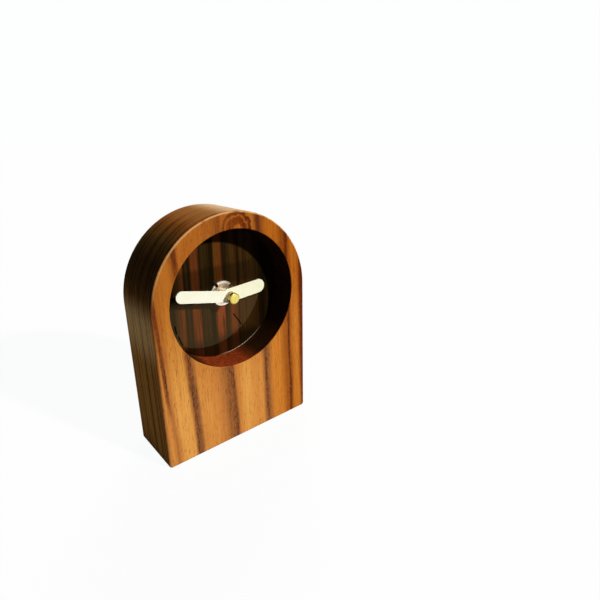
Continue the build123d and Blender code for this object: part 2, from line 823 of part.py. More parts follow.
def make_coil_core():
    core = core_bar(0)
    for place in stake_places:
        core += rod(place, core_end_radius, core_front, core_back)
        core -= rod(place, stake_radius, core_front, core_back)
    return core


def make_stator():
    """Two poles about the rotor, joined by thin necks, with an arm to each end of the core."""
    half_bar = stator_bar_width / 2
    left, right = stake_places[0][0], stake_places[1][0]
    hole_radius = magnet_radius + stator_gap
    flat = rect(left - half_bar, right + half_bar, rotor_axis[1] - half_bar, rotor_axis[1] + half_bar)
    flat += disc(rotor_axis, hole_radius + stator_ring_width)
    for place in stake_places:
        flat += rect(place[0] - half_bar, place[0] + half_bar, rotor_axis[1], place[1])
        flat += disc(place, half_bar)
        flat -= disc(place, stake_radius)
    flat -= disc(rotor_axis, hole_radius)
    slit_height = 2 * (hole_radius + stator_ring_width - stator_neck)
    flat -= Pos(*rotor_axis) * Rectangle(stator_slit_width, slit_height)
    return slab(flat, core_back, stator_back)


# One tooth of each driving gear points along +X at rest, and every mate follows from it.
cannon_phase = 0
motion_pinion_phase = 0
rotor_phase = 0
intermediate_pinion_phase = 0
seconds_pinion_phase = 0
third_pinion_phase = 0
motion_phase = meshed(cannon_teeth, cannon_phase, motion_teeth, motion_angle)
hour_phase = meshed(motion_pinion_teeth, motion_pinion_phase, hour_teeth, motion_angle + half_turn)
setting_phase = meshed(motion_teeth, motion_phase, setting_teeth, setting_angle)
intermediate_phase = meshed(rotor_teeth, rotor_phase, intermediate_teeth, rotor_angle + half_turn)
seconds_phase = meshed(
    intermediate_pinion_teeth, intermediate_pinion_phase, seconds_teeth, intermediate_angle + half_turn
)
third_phase = meshed(seconds_pinion_teeth, seconds_pinion_phase, third_teeth, third_angle)
centre_phase = meshed(third_pinion_teeth, third_pinion_phase, centre_teeth, third_angle + half_turn)

pieces = {
    "case_block": make_case_block(),
    "dial": make_dial(),
    "rubber_washer": make_rubber_washer(),
    "round_nut": make_round_nut(),
    "threaded_bush": make_threaded_bush(),
    "hour_hand": make_hand(
        hour_hand_length, hour_hand_width, hour_hand_angle, hour_hand_front, hour_hand_back,
        Circle(hour_tube_radius)
    ),
    "minute_hand": make_minute_hand(),
    "cap_nut": make_cap_nut(),
    "minute_arbor": make_minute_arbor(),
    "hour_wheel": make_hour_wheel(),
    "motion_wheel": make_motion_wheel(),
    "setting_arbor": make_setting_arbor(),
    "setting_knob": make_setting_knob(),
    "centre_wheel": make_centre_wheel(),
    "third_wheel": make_third_wheel(),
    "seconds_wheel": make_seconds_wheel(),
    "intermediate_wheel": make_intermediate_wheel(),
    "rotor_pinion": make_rotor_pinion(),
    "rotor_magnet": make_rotor_magnet(),
    "movement_shell": make_movement_shell(),
    "middle_plate": make_middle_plate(),
    "train_bridge": make_train_bridge(),
    "gear_cover": make_gear_cover(),
    "cover_screws": make_cover_screws(),
    "battery_cell": make_battery_cell(),
    "positive_contact": make_positive_contact(),
    "negative_contact": make_negative_contact(),
    "circuit_board": make_circuit_board(),
    "controller_chip": make_controller_chip(),
    "quartz_crystal": make_quartz_crystal(),
    "coil_bobbin": make_coil_bobbin(),
    "coil_winding": make_coil_winding(),
    "coil_core": make_coil_core(),
    "stator": make_stator(),
}

for name, solid in pieces.items():
    export_step(solid, f"parts/{name}.step")
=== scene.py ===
# Wooden desk clock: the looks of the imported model, its camera and its light.
import math
import json

import bpy
from mathutils import Matrix, Vector

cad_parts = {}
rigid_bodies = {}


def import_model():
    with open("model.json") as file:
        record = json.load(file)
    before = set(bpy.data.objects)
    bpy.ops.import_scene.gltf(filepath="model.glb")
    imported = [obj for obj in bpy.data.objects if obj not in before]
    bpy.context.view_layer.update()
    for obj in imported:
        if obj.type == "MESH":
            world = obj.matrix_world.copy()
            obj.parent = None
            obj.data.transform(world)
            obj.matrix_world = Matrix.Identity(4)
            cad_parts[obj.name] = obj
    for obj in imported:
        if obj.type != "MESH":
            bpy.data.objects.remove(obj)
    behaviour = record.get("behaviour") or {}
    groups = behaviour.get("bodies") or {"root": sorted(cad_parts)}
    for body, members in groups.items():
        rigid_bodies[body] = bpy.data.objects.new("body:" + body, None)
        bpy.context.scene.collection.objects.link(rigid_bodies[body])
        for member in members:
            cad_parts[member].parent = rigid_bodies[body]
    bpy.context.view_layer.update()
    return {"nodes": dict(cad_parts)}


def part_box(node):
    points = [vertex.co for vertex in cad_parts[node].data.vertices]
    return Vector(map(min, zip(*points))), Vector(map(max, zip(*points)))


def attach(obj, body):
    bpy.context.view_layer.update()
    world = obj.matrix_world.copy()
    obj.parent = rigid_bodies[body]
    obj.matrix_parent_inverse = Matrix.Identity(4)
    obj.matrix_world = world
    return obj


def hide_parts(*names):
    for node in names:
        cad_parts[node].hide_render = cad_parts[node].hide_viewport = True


for leftover in list(bpy.data.objects):
    bpy.data.objects.remove(leftover)

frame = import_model()
nodes = frame["nodes"]
print("frame loaded:", len(nodes), "nodes")

perMetre = 1000  # patterns are laid out in millimetres
shaftHeight = 72  # of the dial's middle above the foot, mm
frontDepth = -15.5  # of the block's front face, mm


class Link:
    # One output of a node, so that node maths reads as a sum
    def __init__(self, graph, socket):
        self.graph = graph
        self.socket = socket

    def maths(self, operation, *others):
        return self.graph.node("ShaderNodeMath", {"operation": operation}, dict(enumerate((self, *others))))

    def __add__(self, other):
        return self.maths("ADD", other)

    def __sub__(self, other):
        return self.maths("SUBTRACT", other)

    def __rsub__(self, other):
        return self.graph.node("ShaderNodeMath", {"operation": "SUBTRACT"}, {0: other, 1: self})

    def __mul__(self, other):
        return self.maths("MULTIPLY", other)

    def __truediv__(self, other):
        return self.maths("DIVIDE", other)

    def __rtruediv__(self, other):
        return self.graph.node("ShaderNodeMath", {"operation": "DIVIDE"}, {0: other, 1: self})

    __radd__ = __add__
    __rmul__ = __mul__


class Graph:
    # A node tree, shader or geometry, with one method that adds a node
    def __init__(self, tree):
        self.tree = tree

    def node(self, kind, settings=None, inputs=None, out=0):
        made = self.tree.nodes.new(kind)
        for name, value in (settings or {}).items():
            if name == "stops":
                self.setStops(made.color_ramp, value)
            else:
                setattr(made, name, value)
        for key, value in (inputs or {}).items():
            if isinstance(value, Link):
                self.tree.links.new(value.socket, made.inputs[key])
            else:
                made.inputs[key].default_value = value
        return Link(self, made.outputs[out]) if len(made.outputs) else made

    def setStops(self, ramp, stops):
        for element, stop in zip(ramp.elements, (stops[0], stops[-1])):
            element.position = stop[0]
            element.color = (*stop[1], 1)
        for position, colour in stops[1:-1]:
            ramp.elements.new(position).color = (*colour, 1)


def tone(red, green, blue):
    # Screen colour, 0 to 255, as the light values that Blender wants
    values = []
    for value in (red, green, blue):
        share = value / 255
        values.append(share / 12.92 if share <= 0.04045 else ((share + 0.055) / 1.055) ** 2.4)
    return tuple(values)


class Finish(Graph):
    # A material with one main shader, and the patterns that its colours are made of
    def __init__(self, name, **sockets):
        self.material = bpy.data.materials.new(name)
        self.material.use_nodes = True
        super().__init__(self.material.node_tree)
        self.tree.nodes.clear()
        self.shader = self.tree.nodes.new("ShaderNodeBsdfPrincipled")
        self.output = self.tree.nodes.new("ShaderNodeOutputMaterial")
        self.tree.links.new(self.shader.outputs[0], self.output.inputs["Surface"])
        self.coordinates = self.node("ShaderNodeTexCoord", out="Object")
        self.measures = {}  # what zone() can ask for by name
        for socket, value in sockets.items():
            self.set(socket, value)

    def set(self, socket, value):
        target = self.shader.inputs[socket.replace("_", " ")]
        if isinstance(value, Link):
            self.tree.links.new(value.socket, target)
        elif isinstance(value, tuple):
            target.default_value = (*value, 1)
        else:
            target.default_value = value

    def place(self, cell=(1, 1, 1), centre=(0, 0, 0)):
        # Position from a centre, counted in cells of that many millimetres
        return self.node("ShaderNodeMapping", {}, {
            "Vector": self.coordinates,
            "Location": [-c / size for c, size in zip(centre, cell)],
            "Scale": [perMetre / size for size in cell],
        })

    def axes(self, place):
        parts = self.node("ShaderNodeSeparateXYZ", {}, {0: place})
        return [Link(self, output) for output in parts.socket.node.outputs]

    def aboutShaft(self):
        # Position from the dial's middle, and the distance from the axis of the hands
        across, depth, height = self.axes(self.place(centre=(0, 0, shaftHeight)))
        return across, depth, height, (across * across + height * height).maths("SQRT")

    def noise(self, cell, detail=2.0, roughness=0.5, centre=(0, 0, 0)):
        return self.node("ShaderNodeTexNoise", {}, {
            "Vector": self.place(cell, centre), "Scale": 1.0, "Detail": detail, "Roughness": roughness,
        })

    def lineNoise(self, value, detail):
        return self.node("ShaderNodeTexNoise", {"noise_dimensions": "1D"}, {
            "W": value, "Scale": 1.0, "Detail": detail,
        })

    def step(self, value, start, full):
        # 0 before start and 1 past full, with a soft passage; start may be the larger of the two
        return self.node("ShaderNodeMapRange", {"interpolation_type": "SMOOTHSTEP"}, {
            "Value": value, "From Min": start, "From Max": full,
        })

    def zone(self, passages):
        # 1 where all passages are past; each names a measure, where it sets in and where it is full
        inside, *others = [self.step(self.measures[name], start, full) for name, start, full in passages]
        for other in others:
            inside = inside * other
        return inside

    def ramp(self, value, stops):
        return self.node("ShaderNodeValToRGB", {"stops": stops}, {"Fac": value})

    def bands(self, value, look, rows, first, last):
        # A ramp from first to last; each row holds a place and the name of its tone
        along = self.node("ShaderNodeMapRange", {}, {"Value": value, "From Min": first, "From Max": last})
        return self.ramp(along, [((place - first) / (last - first), look[name]) for place, name in rows])

    def mix(self, share, first, second, how="MIX"):
        ends = [(*end, 1) if isinstance(end, tuple) else end for end in (first, second)]
        return self.node("ShaderNodeMix", {"data_type": "RGBA", "blend_type": how},
                         {0: share, 6: ends[0], 7: ends[1]}, out=2)

    def lacquer(self, colour, roughness, share):
        # A tinted mirror film over the main shader
        film = self.node("ShaderNodeBsdfGlossy", {}, {"Color": (*colour, 1), "Roughness": roughness})
        main = Link(self, self.shader.outputs[0])
        both = self.node("ShaderNodeMixShader", {}, {0: share, 1: main, 2: film})
        self.tree.links.new(both.socket, self.output.inputs["Surface"])

    def bump(self, height, depth, strength):
        self.set("Normal", self.node("ShaderNodeBump", {}, {
            "Strength": strength, "Distance": depth / perMetre, "Height": height,
        }))


def dress(finish, *names):
    for name in names:
        nodes[name].data.materials.clear()
        nodes[name].data.materials.append(finish.material)


# The block is flat-sawn: broad bands on the front, which turn into fine lines of growth
# along the sides and the back.
blockWood = {
    "lean": 0.036,  # sideways shift of the bands for each mm of height
    "leanFrom": 10,  # height at which the bands stand where they are listed, mm
    "fan": 0.0004,  # how much more they lean for each mm to the left
    "curve": 170,  # radius of the growth layers, mm
    "layer": 1.9,  # thickness of one layer, mm
    "yearPace": 0.61,  # how fast lighter and darker years take turns
    "swirl": (2.4, 104.8),  # middle of the ringed figure over the recess, mm
    "leftLine": (-36.3, -0.034),  # dark line by the left edge: its place at the foot, mm, and its lean
    "topBands": ((15.8, 88, 0.6), (-24.4, 84, 0.8)),  # bands that darken going up: place, height, share
    "topBandEdge": (1.9, 0.5),  # from a band's middle, where it sets in and where it is full, mm
    "topBandRise": 12,  # height over which it darkens, mm
    "raggedness": (26, 16),  # mm that the streaks and the years push the edge of the shoulder's painted shade
    "relief": 0.04,  # depth of the pores, mm
    "pale": tone(223, 159, 79),
    "light": tone(211, 141, 68),
    "tan": tone(196, 127, 63),
    "brown": tone(166, 106, 55),
    "plum": tone(126, 74, 42),
    "dusk": tone(140, 90, 54),
    "gold": tone(213, 136, 53),
    "umber": tone(170, 98, 34),
    "red": tone(122, 50, 14),
    "wine": tone(92, 38, 18),
    "rust": tone(134, 64, 24),
    "deep": tone(197, 158, 60),
    "pore": tone(64, 36, 24),
    "dash": tone(148, 88, 42),
    "fleck": tone(190, 134, 92),
    "wall": tone(172, 66, 32),
    # painted shade for the recess wall
    "wallPaintedShade": tone(26, 13, 6),
    # pale edge tone: wear, and in part a painted highlight
    "worn": tone(232, 186, 124),
    # painted shade for the shoulder
    "shoulderPaintedShade": tone(52, 50, 36),
    "ruddy": tone(212, 178, 156),
    "lineDark": tone(124, 84, 40),
    "lineBrown": tone(176, 121, 56),
    "lineTan": tone(224, 168, 88),
    "lineLight": tone(234, 170, 84),
    # painted highlight for the top of the arch
    "arch": tone(216, 176, 112),
    # Grain laid over the tones, where 0.5 leaves them as they are
    "streaks": ((0.3, (0.36, 0.34, 0.32)), (0.5, (0.5, 0.5, 0.5)), (0.7, (0.64, 0.65, 0.66))),
    "fibres": ((0.3, (0.34, 0.3, 0.28)), (0.5, (0.52, 0.5, 0.5)), (0.72, (0.66, 0.66, 0.66))),
    # Places of the tones: across the front, through one layer, and out from the figure's middle
    "width": (-41, 41),
    "bands": (
        (-41, "brown"), (-37.6, "light"), (-36.5, "tan"), (-35.7, "brown"), (-34.6, "tan"),
        (-32.2, "pale"), (-27.4, "pale"), (-26.2, "brown"), (-25.2, "plum"), (-23.6, "dusk"),
        (-21.8, "light"), (-15, "light"), (-10.6, "tan"), (-7.8, "brown"), (-3.2, "plum"),
        (-2, "tan"), (-0.4, "light"), (3, "pale"), (9, "light"), (13, "light"),
        (14.6, "brown"), (15.6, "plum"), (17.6, "brown"), (20.4, "gold"), (25.2, "gold"),
        (28.4, "umber"), (29.8, "umber"), (31, "wine"), (32.2, "umber"), (34, "gold"),
        (37, "gold"), (39, "red"),
    ),
    "lines": (
        (0, "lineDark"), (0.14, "lineBrown"), (0.34, "lineTan"), (0.62, "lineLight"),
        (0.86, "lineBrown"), (1, "lineDark"),
    ),
    "ringReach": 10,  # mm
    "rings": (
        (0, "tan"), (0.8, "tan"), (1.7, "rust"), (2.8, "rust"), (4, "red"), (5, "rust"),
        (5.8, "tan"), (6.5, "rust"), (7.2, "wine"), (8.4, "tan"),
    ),
    "noises": {  # size of a cell in mm, detail, roughness, and a centre that keeps patterns apart
        "sway": ((60, 70, 130), 1.0),
        "ripple": ((8, 12, 50), 2.0),
        "fray": ((1.5, 1.5, 16), 3.0, 0.6),
        "curl": ((3.4, 3.4, 4.2), 2.0, 0.5, (1, 0, 3)),
        "streaks": ((1.3, 1.2, 60), 3.0, 0.6),
        "fibres": ((0.3, 0.3, 14), 3.0, 0.6),
        "dashes": ((0.3, 0.3, 4.6), 1.0, 0.4),
        "scores": ((0.5, 0.5, 4), 1.0, 0.4, (9, 0, 5)),
        "flecks": ((0.3, 0.3, 1.3), 2.0, 0.5, (4, 0, 2)),
        "pores": ((0.28, 0.28, 2.2), 1.0, 0.4, (0, 0, 7)),
        "rubbing": ((6, 6, 6), 3.0),
    },
    "cuts": {  # the value at which a pattern sets in and the one at which it is full
        "paleYear": (0.42, 0.66), "darkYear": (0.5, 0.36), "endGrain": (0.3, 0.7), "dark": (0.48, 0.2),
        "dashes": (0.6, 0.72), "scores": (0.68, 0.73), "flecks": (0.56, 0.66), "pores": (0.68, 0.74),
        "rubbing": (0.25, 0.5),
    },
    "zones": {  # where each tint lies: a measure, where it sets in and where it is full, mm
        "onFront": (("behind", 3.2, 0.6),),
        "arch": (("height", 106, 112),),
        "swirl": (("ring", 8.4, 7.4), ("height", 98, 103)),
        "deepAbove": (("height", 22, 86),),
        "deepRight": (("across", 12, 34),),
        "dim": (("height", 40, 88), ("across", 8, -14)),
        "leftLine": (("besideLine", 1.2, 0.3), ("height", 18, 44), ("height", 88, 76)),
        "wall": (("radius", 32.6, 32.35), ("behind", 0.1, 0.7), ("depth", 0.5, -1.5)),
        # the stretch of the recess wall that keeps its wood tone; the rest gets painted shade
        "wallLit": (("across", 13, 3), ("across", -21, -13), ("height", 62, 48)),
        "paler": (("height", 46, 62), ("height", 80, 68), ("across", -38, -39.6), ("behind", 0.4, 1.5)),
        "ruddy": (
            ("across", 5, -9), ("across", -30, -20), ("height", 88, 94), ("behind", 0.4, 1.5),
            ("radius", 38.4, 39.4),
        ),
        "shoulder": (
            ("raggedHeight", 64, 86), ("across", -14, -30), ("behind", 0.4, 1.5), ("radius", 38.4, 39.4),
        ),
        "edge": (("behind", 0.02, 0.15), ("behind", 1, 0.5), ("radius", 38, 39)),
        "worn": (("height", 72, 96),),
        "handled": (("height", 107, 112.5), ("behind", 0.3, 0.9), ("across", -8, 3)),
    },
    "shares": {  # how strongly each is laid over the wood
        "years": 0.7, "arch": 0.75, "swirl": 0.94, "deep": 0.72, "deepRight": 0.5, "dim": 0.58,
        "leftLine": 0.75, "streaks": 0.4, "fibres": 0.3, "wall": 0.98, "scores": 0.6, "paler": 0.9,
        "shoulder": 0.87, "worn": 0.6,
    },
    "sheen": {"handled": 0.3, "rubbed": 0.2, "paler": 0.14, "all": 0.01},
}


def makeBlockWood():
    wood = Finish("blockWood", Specular_IOR_Level=0.0, Coat_Roughness=0.36)
    look = blockWood
    noises, cuts, zones, shares = look["noises"], look["cuts"], look["zones"], look["shares"]
    across, depth, height = wood.axes(wood.place())
    behind = depth - frontDepth
    above = height - shaftHeight
    radius = (across * across + above * above).maths("SQRT")
    wood.measures = {"across": across, "depth": depth, "height": height, "behind": behind, "radius": radius}

    # The bands of the front, pushed sideways by some millimetres of noise
    sway, ripple, fray, curl = [wood.noise(*noises[name]) - 0.5
                                for name in ("sway", "ripple", "fray", "curl")]
    lean = across * -look["fan"] + look["lean"]
    offset = across + (height - look["leanFrom"]) * lean + sway * 2 + ripple * 2.2 + fray * 1.5
    bands = wood.bands(offset, look, look["bands"], *look["width"])

    # Inside the block: layers that bend back to both sides
    layers = behind + offset * offset / (2 * look["curve"]) + ripple * 0.8 + sway * 4
    turns = layers / look["layer"]
    year = wood.lineNoise(turns * look["yearPace"], detail=1.0)
    lines = wood.bands(turns.maths("FRACT"), look, look["lines"], 0, 1)
    lines = wood.mix(wood.step(year, *cuts["paleYear"]) * shares["years"], lines, look["lineTan"])
    lines = wood.mix(wood.step(year, *cuts["darkYear"]) * shares["years"], lines, look["lineDark"])
    # Painted highlight: the lines turn pale cream at the top of the arch
    lines = wood.mix(wood.zone(zones["arch"]) * shares["arch"], lines, look["arch"])
    onFront = wood.zone(zones["onFront"])
    tint = wood.mix(onFront, lines, bands)

    # The ringed figure over the recess, a little flattened and wavy
    swirlX, swirlZ = look["swirl"]
    pastX = across - swirlX + ripple * 3 + curl * 2.2
    pastZ = height - swirlZ + fray * 1.2
    ring = (pastX * pastX + pastZ * pastZ * 1.2).maths("SQRT") + curl * 3.4
    wood.measures["ring"] = ring
    rings = wood.bands(ring, look, look["rings"], 0, look["ringReach"])
    tint = wood.mix(wood.zone(zones["swirl"]) * onFront * shares["swirl"], tint, rings)

    # The wood is deeper in colour towards the arch and to the right
    deepRight = wood.zone(zones["deepRight"]) * shares["deepRight"]
    deepening = wood.zone(zones["deepAbove"]).maths("MAXIMUM", deepRight) * onFront
    tint = wood.mix(deepening * shares["deep"], tint, look["deep"], how="MULTIPLY")
    tint = wood.mix(wood.zone(zones["dim"]) * onFront * shares["dim"], tint, look["umber"])
    lineX, lineLean = look["leftLine"]
    wood.measures["besideLine"] = (across - lineX - height * lineLean + fray * 0.8).maths("ABSOLUTE")
    tint = wood.mix(wood.zone(zones["leftLine"]) * onFront * shares["leftLine"], tint, look["wine"])
    for band, lowest, share in look["topBands"]:
        beside = wood.step((offset - band).maths("ABSOLUTE"), *look["topBandEdge"])
        rise = wood.step(height, lowest, lowest + look["topBandRise"])
        tint = wood.mix(beside * rise * onFront * share, tint, look["wine"])
    streaks = wood.noise(*noises["streaks"])
    tint = wood.mix(shares["streaks"], tint, wood.ramp(streaks, look["streaks"]), how="OVERLAY")
    fibres = wood.noise(*noises["fibres"])
    tint = wood.mix(shares["fibres"], tint, wood.ramp(fibres, look["fibres"]), how="OVERLAY")

    # The recess wall is end grain above and below, with painted shade on all of it but a stretch of the
    # lower wall that the light reaches
    wall = wood.zone(zones["wall"])
    lining = wood.mix(wood.step(streaks, *cuts["endGrain"]), look["wall"], look["red"])
    lining = wood.mix(wood.zone(zones["wallLit"]), look["wallPaintedShade"], lining)
    tint = wood.mix(wall * shares["wall"], tint, lining)

    # Thin dashes all over, and pale flecks and dark pores that crowd into the dark bands
    redPart = wood.node("ShaderNodeSeparateColor", {}, {0: tint})
    dark = wood.step(redPart, *cuts["dark"])
    dashes, scores, flecks = [wood.step(wood.noise(*noises[name]), *cuts[name])
                              for name in ("dashes", "scores", "flecks")]
    dash = wood.mix(deepening * 0.6, look["dash"], look["red"])
    tint = wood.mix(dashes * (0.6 - dark * 0.3), tint, dash)
    tint = wood.mix(scores * onFront * shares["scores"], tint, look["rust"])
    tint = wood.mix(flecks * dark * (1 - wall) * (0.45 - deepening * 0.4), tint, look["fleck"])
    pores = wood.step(wood.noise(*noises["pores"]) + dark * (0.16 - deepening * 0.1), *cuts["pores"])
    tint = wood.mix(pores * (dark * 0.45 + 0.35), tint, look["pore"])

    # Painted sheen on the left side, redder painted shade left of the arch's top, and darker painted shade
    # through the shoulder between them
    # Painted sheen: the upper left side made lighter, with a little coat over it
    paler = wood.zone(zones["paler"])
    tint = wood.mix(paler * shares["paler"], tint, tint, how="SCREEN")
    # Painted shade: the arch left of its top made darker and redder
    tint = wood.mix(wood.zone(zones["ruddy"]), tint, look["ruddy"], how="MULTIPLY")
    byStreaks, byYears = look["raggedness"]
    wood.measures["raggedHeight"] = height + (streaks - 0.5) * byStreaks + (year - 0.5) * byYears
    tint = wood.mix(wood.zone(zones["shoulder"]) * shares["shoulder"], tint, look["shoulderPaintedShade"], how="MULTIPLY")

    # Rubbed edges, pale partly from wear and partly as a painted highlight along the upper edges, and wood
    # that hands have worn to a gloss at the top
    rubbed = wood.zone(zones["edge"]) * wood.step(wood.noise(*noises["rubbing"]), *cuts["rubbing"])
    tint = wood.mix(rubbed * wood.zone(zones["worn"]) * shares["worn"], tint, look["worn"])
    shine = look["sheen"]
    sheen = wood.zone(zones["handled"]) * shine["handled"]
    sheen = sheen.maths("MAXIMUM", rubbed * shine["rubbed"]).maths("MAXIMUM", paler * shine["paler"])
    wood.set("Base Color", tint)
    wood.set("Roughness", 0.5 + fibres * 0.14 + pores * 0.15)
    wood.set("Coat_Weight", sheen * (1 - pores * 0.6) + shine["all"])
    wood.bump(fibres * 0.3 - pores, look["relief"], 0.6)
    return wood


# The dial is a disc of darker wood under a thin warm lacquer, its grain upright.
dialWood = {
    "lean": -0.015,  # sideways shift of the stripes for each mm of height
    "sway": 2.4,  # and their waviness, mm
    "redder": ((-0.4, 2.5, 1.3, 1), (6.8, 3, 1.4, 0.45)),  # stripes: middle, edge, full, share
    "fibres": (  # both ends of each short dark fibre, mm
        (5.6, 60.3, 10.5, 52.4), (-25, 62, -24.4, 57.4), (-23.9, 56.6, -21.9, 50.8),
    ),
    "dust": (3.1, 3.1, 3.1),  # spacing of the specks in the lacquer, mm
    "relief": 0.03,  # and their height
    "lacquer": (1.0, 0.69, 0.3),
    "lacquerRoughness": 0.03,
    "gloss": 0.029,  # how much of the light it mirrors
    "black": tone(17, 12, 4),
    "olive": tone(48, 30, 11),
    "brown": tone(66, 38, 14),
    "orange": tone(92, 50, 14),
    "red": tone(98, 44, 18),
    "glow": tone(130, 56, 26),
    "fleck": tone(12, 8, 4),
    "fibre": tone(6, 4, 3),
    "bead": tone(212, 192, 160),  # painted highlight where the light catches the dial's lower edge
    "upper": (1.06, 1.32, 1.34),  # times each light value in the upper half
    "lines": ((0.3, (0.18, 0.18, 0.17)), (0.5, (0.5, 0.5, 0.5)), (0.7, (0.72, 0.71, 0.68))),
    "width": (-33, 33),
    "bands": (
        (-33, "olive"), (-27, "black"), (-24.5, "black"), (-23.4, "olive"), (-22.4, "brown"),
        (-19.8, "red"), (-18.8, "black"), (-17.6, "olive"), (-15.8, "black"), (-14.8, "red"),
        (-11.6, "red"), (-10.6, "black"), (-9.4, "olive"), (-6.8, "olive"), (-5.4, "black"),
        (-3.7, "black"), (-2.7, "orange"), (0.6, "red"), (1.8, "black"), (3.2, "olive"),
        (5, "olive"), (5.8, "brown"), (8.2, "brown"), (9.3, "black"), (10.6, "brown"),
        (13.5, "olive"), (15.5, "brown"), (18.5, "olive"), (20.5, "brown"), (24, "black"),
        (28, "brown"), (33, "black"),
    ),
    "noises": {  # as for the block
        "sway": ((14, 20, 60), 2.0, 0.5, (11, 0, 0)),
        "lines": ((0.9, 0.9, 70), 3.0, 0.65),
        "veins": ((0.7, 0.7, 30), 2.0, 0.5, (3, 0, 9)),
        "flecks": ((0.3, 0.3, 2.6), 1.0),
        "waves": ((9, 9, 9), 0.0),
    },
    "cuts": {"veins": (0.6, 0.68), "flecks": (0.68, 0.74), "dust": (0.05, 0.02)},
    "zones": {  # heights are from the shaft here
        "upper": (("height", -2, 12),),
        "lower": (("height", 2, -9),),
        "right": (("across", 15, 22),),
        "foot": (("height", -18, -25),),
        "fibre": (("beside", 0.45, 0.2), ("along", 0, 0.1), ("along", 1, 0.9)),
        "shade": (("height", 2, 5), ("height", 15, 12), ("across", 22, 14)),
        "bead": (("radius", 31.5, 31.6), ("height", -22, -29), ("across", -5, 3)),
        "polished": (("slant", 0, -6),),
    },
    "shares": {
        "lines": 0.85, "faded": 0.22, "glow": 0.85, "right": 0.72, "foot": 0.82, "veins": 0.75,
        "flecks": 0.6, "fibre": 0.95, "shade": 0.5, "bead": 0.7,
    },
}


def makeDialWood():
    wood = Finish("dialWood", Specular_IOR_Level=0.0)
    look = dialWood
    noises, cuts, zones, shares = look["noises"], look["cuts"], look["zones"], look["shares"]
    across, _, height, radius = wood.aboutShaft()
    wood.measures = {"across": across, "height": height, "radius": radius, "slant": height + across * 0.1}

    # Stripes with fine lines, softer in the upper half and redder in the lower one
    sway = wood.noise(*noises["sway"]) - 0.5
    offset = across + height * look["lean"] + sway * look["sway"]
    lines = wood.noise(*noises["lines"])
    tint = wood.bands(offset, look, look["bands"], *look["width"])
    tint = wood.mix(shares["lines"], tint, wood.ramp(lines, look["lines"]), how="OVERLAY")
    upper = wood.zone(zones["upper"])
    tint = wood.mix(upper, tint, look["upper"], how="MULTIPLY")
    tint = wood.mix(upper * shares["faded"], tint, look["olive"])
    wide, thin = [wood.step((offset - middle).maths("ABSOLUTE"), edge, full) * share
                  for middle, edge, full, share in look["redder"]]
    redder = wide.maths("MAXIMUM", thin) * wood.zone(zones["lower"])
    tint = wood.mix(redder * shares["glow"], tint, look["glow"])

    # Painted shade towards the right and the foot, with dark veins and flecks
    right, foot = [wood.zone(zones[name]) * shares[name] for name in ("right", "foot")]
    tint = wood.mix(right.maths("MAXIMUM", foot), tint, look["black"])
    for name, colour in (("veins", "black"), ("flecks", "fleck")):
        marks = wood.step(wood.noise(*noises[name]), *cuts[name])
        tint = wood.mix(marks * shares[name], tint, look[colour])

    # Three fibres lie in the lacquer
    fibres = []
    for startX, startZ, endX, endZ in look["fibres"]:
        runX, runZ = endX - startX, endZ - startZ
        run = math.hypot(runX, runZ)
        pastX, pastZ = across - startX, height + shaftHeight - startZ
        wood.measures["along"] = (pastX * (runX / run) + pastZ * (runZ / run)) / run
        wood.measures["beside"] = (pastX * (-runZ / run) + pastZ * (runX / run)).maths("ABSOLUTE")
        fibres.append(wood.zone(zones["fibre"]))
    onFibre = sum(fibres[1:], fibres[0])
    tint = wood.mix(onFibre * shares["fibre"], tint, look["fibre"])

    # Painted shade behind the hands, and a painted highlight along the dial's lower edge
    for name, colour in (("shade", "black"), ("bead", "bead")):
        tint = wood.mix(wood.zone(zones[name]) * shares[name], tint, look[colour])
    wood.set("Base Color", tint)
    wood.set("Roughness", 0.36 + lines * 0.14)
    dust = wood.node("ShaderNodeTexVoronoi", {}, {"Vector": wood.place(look["dust"]), "Scale": 1.0})
    wood.bump(wood.noise(*noises["waves"]) * 0.2 + wood.step(dust, *cuts["dust"]), look["relief"], 0.35)
    # The film mirrors only over the lower half: its gloss is real, but where it lies is a painted
    # reflection of bright surroundings
    polished = wood.zone(zones["polished"]) * (1 - onFibre) * look["gloss"]
    wood.lacquer(look["lacquer"], look["lacquerRoughness"], polished)
    return wood


creamPaint = {
    "hour": (tone(246, 248, 220), tone(242, 243, 212)),
    "minute": (tone(252, 253, 238), tone(248, 248, 226)),
    "hub": tone(222, 196, 140),  # painted shade: a darker tan on the raised boss round the shaft
    "hubEdge": (2.72, 2.62),  # mm from the shaft
    "hubShare": 0.8,
    "relief": 0.006,
}


def makeCreamPaint(name, clean, dull):
    paint = Finish(name, Specular_IOR_Level=0.4)
    *_, radius = paint.aboutShaft()
    cloud = paint.noise((4, 4, 4), detail=3.0)
    tint = paint.mix(paint.step(cloud, 0.3, 0.8), clean, dull)
    # Painted shade: the raised boss round the shaft is tinted a darker tan
    onHub = paint.step(radius, *creamPaint["hubEdge"]) * creamPaint["hubShare"]
    paint.set("Base Color", paint.mix(onHub, tint, creamPaint["hub"]))
    paint.set("Roughness", 0.34 + cloud * 0.12)
    paint.bump(paint.noise((0.12, 0.12, 0.12)), creamPaint["relief"], 0.5)
    return paint


print("finish: block, dial and hands")
dress(makeBlockWood(), "case_block")
dress(makeDialWood(), "dial")
for part in ("hour", "minute"):
    dress(makeCreamPaint(part + "Paint", *creamPaint[part]), part + "_hand")


